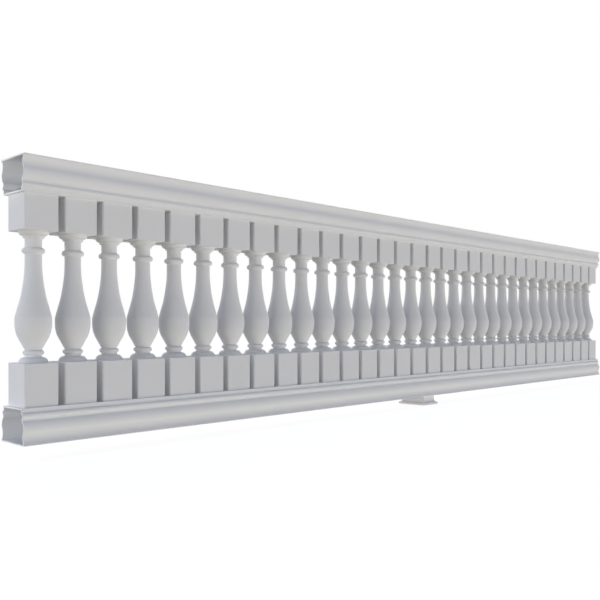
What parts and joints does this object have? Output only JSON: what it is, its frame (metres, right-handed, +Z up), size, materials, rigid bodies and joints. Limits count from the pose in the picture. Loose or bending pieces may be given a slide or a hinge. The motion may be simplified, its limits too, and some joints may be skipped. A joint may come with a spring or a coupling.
{
  "type": "balustrade panel",
  "caption": "Straight balustrade panel with hollow moulded top and bottom rails, turned vase balusters with square end blocks and a small support foot under the middle",
  "frame": {"origin": "centre of the support foot's underside, under the middle of the panel", "axes": "+X along the panel, +Y across it from front to back, +Z up"},
  "size_m": [4.8768, 0.1778, 1.0472],
  "materials": {
    "rail_white": "satin",
    "baluster_white": "satin"
  },
  "bodies": {
    "root": {"top_rail": "rail_white", "bottom_rail": "rail_white", "support_foot": "rail_white", "baluster_01": "baluster_white", "baluster_02": "baluster_white", "baluster_03": "baluster_white", "baluster_04": "baluster_white", "baluster_05": "baluster_white", "baluster_06": "baluster_white", "baluster_07": "baluster_white", "baluster_08": "baluster_white", "baluster_09": "baluster_white", "baluster_10": "baluster_white", "baluster_11": "baluster_white", "baluster_12": "baluster_white", "baluster_13": "baluster_white", "baluster_14": "baluster_white", "baluster_15": "baluster_white", "baluster_16": "baluster_white", "baluster_17": "baluster_white", "baluster_18": "baluster_white", "baluster_19": "baluster_white", "baluster_20": "baluster_white", "baluster_21": "baluster_white", "baluster_22": "baluster_white", "baluster_23": "baluster_white", "baluster_24": "baluster_white", "baluster_25": "baluster_white", "baluster_26": "baluster_white", "baluster_27": "baluster_white", "baluster_28": "baluster_white", "baluster_29": "baluster_white", "baluster_30": "baluster_white", "baluster_31": "baluster_white", "baluster_32": "baluster_white"}
  },
  "joints": []
}
